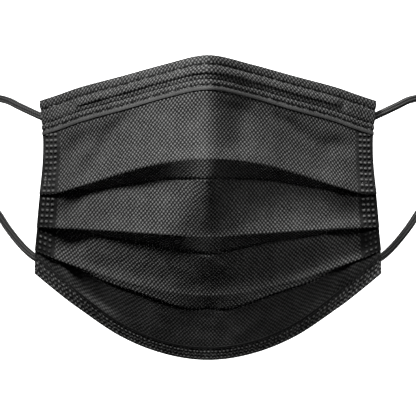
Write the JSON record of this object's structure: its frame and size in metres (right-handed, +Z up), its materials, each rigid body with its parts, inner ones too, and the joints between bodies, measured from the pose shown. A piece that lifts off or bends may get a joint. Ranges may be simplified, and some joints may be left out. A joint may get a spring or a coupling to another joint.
{
  "type": "pleated procedure mask",
  "caption": "Three-pleat face mask opened to its worn form, with fold-over edge bindings, a nose wire in a raised channel, welded sides and two round elastic ear loops.",
  "frame": {"origin": "the nose seat: the middle of the inner face, under the nose wire, 7 mm below the top edge", "axes": "+X to the wearer's left, +Y out of the hollow towards the face, +Z up; the outside faces -Y"},
  "size_m": [0.2216, 0.1046, 0.1354],
  "materials": {
    "nonwoven": "matte embossed nonwoven",
    "binding": "matte nonwoven with stitch welds",
    "wire_coating": "matte",
    "elastic": "knitted round elastic"
  },
  "bodies": {
    "root": {"mask_body": "nonwoven", "top_binding": "binding", "nose_wire": "wire_coating", "bottom_binding": "binding", "ear_loop_left": "elastic", "ear_loop_right": "elastic"}
  },
  "joints": []
}
